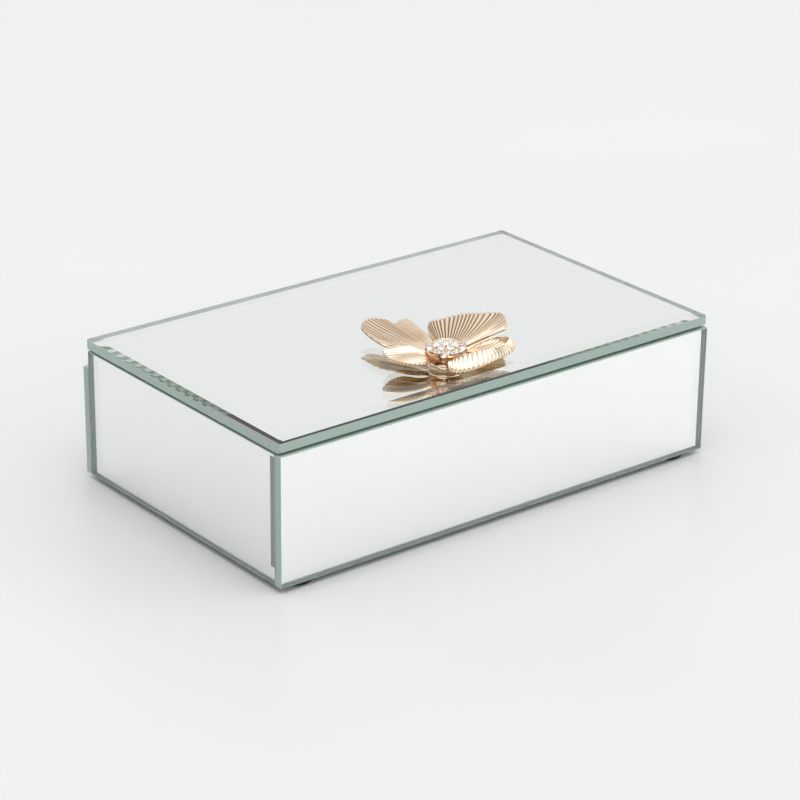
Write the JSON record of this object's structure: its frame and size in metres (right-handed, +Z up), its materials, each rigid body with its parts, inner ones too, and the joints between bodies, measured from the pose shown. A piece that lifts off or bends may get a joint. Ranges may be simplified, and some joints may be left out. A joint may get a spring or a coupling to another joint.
{
  "type": "mirrored trinket box",
  "caption": "Rectangular mirrored-glass trinket box with a velvet-lined tray, a hinged bevelled mirror lid and a gilt metal flower set with clear stones.",
  "frame": {"origin": "under the middle of the box, on the surface that the feet stand on", "axes": "+X along the box's length to the right seen from the front, -Y towards the front, +Z up"},
  "size_m": [0.2006, 0.124, 0.066],
  "materials": {
    "mirror_glass": "polished float-glass mirror with ground, faintly green edges",
    "fibreboard": "thin fibreboard wrapped in dark paper",
    "velvet": "short-pile velvet",
    "velvet_pad": "short-pile velvet over thin wadding",
    "foot_foam": "closed-cell foam, matt",
    "hinge_steel": "brass-plated steel, satin",
    "gilt_metal": "polished pale-gold plating on cast metal",
    "clear_stone": "faceted clear stone with foiled back"
  },
  "bodies": {
    "case": {"front_mirror": "mirror_glass", "back_mirror": "mirror_glass", "left_mirror": "mirror_glass", "right_mirror": "mirror_glass", "base_board": "fibreboard", "front_board": "fibreboard", "back_board": "fibreboard", "left_board": "fibreboard", "right_board": "fibreboard", "floor_pad": "velvet_pad", "front_lining": "velvet", "back_lining": "velvet", "left_lining": "velvet", "right_lining": "velvet", "foot_front_left": "foot_foam", "foot_front_right": "foot_foam", "foot_back_left": "foot_foam", "foot_back_right": "foot_foam", "left_hinge_case_leaf": "hinge_steel", "right_hinge_case_leaf": "hinge_steel", "left_hinge_pin": "hinge_steel", "right_hinge_pin": "hinge_steel", "case_leaf_screws": "hinge_steel"},
    "lid": {"lid_mirror": "mirror_glass", "lid_board": "fibreboard", "lid_pad": "velvet_pad", "left_hinge_lid_leaf": "hinge_steel", "right_hinge_lid_leaf": "hinge_steel", "lid_leaf_screws": "hinge_steel", "flower_base": "gilt_metal", "petal_left": "gilt_metal", "petal_front_left": "gilt_metal", "petal_right": "gilt_metal", "petal_back": "gilt_metal", "stone_cup": "gilt_metal", "stones": "clear_stone"}
  },
  "joints": [
    {"name": "lid_hinge", "type": "hinge", "parent": "case", "child": "lid", "pos_m": [0, 0.0605, 0.0515], "axis": [-1, 0, 0], "range_deg": [0, 100]}
  ]
}
